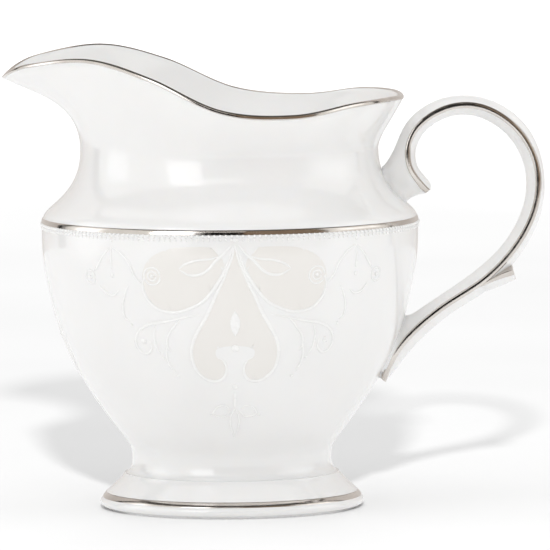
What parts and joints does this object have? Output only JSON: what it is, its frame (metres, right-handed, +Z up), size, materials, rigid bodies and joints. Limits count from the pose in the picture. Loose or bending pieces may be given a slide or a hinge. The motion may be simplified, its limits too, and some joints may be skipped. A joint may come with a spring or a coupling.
{
  "type": "cream jug",
  "caption": "Footed china cream jug with an urn bowl, a stepped shoulder, a flared neck with a broad spout, a scroll handle and platinum lines.",
  "frame": {"origin": "centre of the foot's rest ring, on the surface the jug stands on", "axes": "+Z up, +X towards the handle, -X towards the spout, XZ is the plane of symmetry"},
  "size_m": [0.1306, 0.0916, 0.1107],
  "materials": {
    "china": "white bone china under a clear glossy glaze",
    "platinum": "polished platinum lustre line, warm grey",
    "enamel": "raised white enamel, fired on the glaze",
    "blush": "very pale blush ground under the raised enamel"
  },
  "bodies": {
    "root": {"bowl": "china", "neck_and_spout": "china", "foot": "china", "handle": "china", "rim_platinum_line": "platinum", "shoulder_platinum_band": "platinum", "foot_platinum_band": "platinum", "handle_platinum_line_front": "platinum", "handle_platinum_line_back": "platinum", "spur_platinum_tips": "platinum", "bead_row": "enamel", "stroke_row": "enamel", "enamel_jewels": "enamel"}
  },
  "joints": []
}
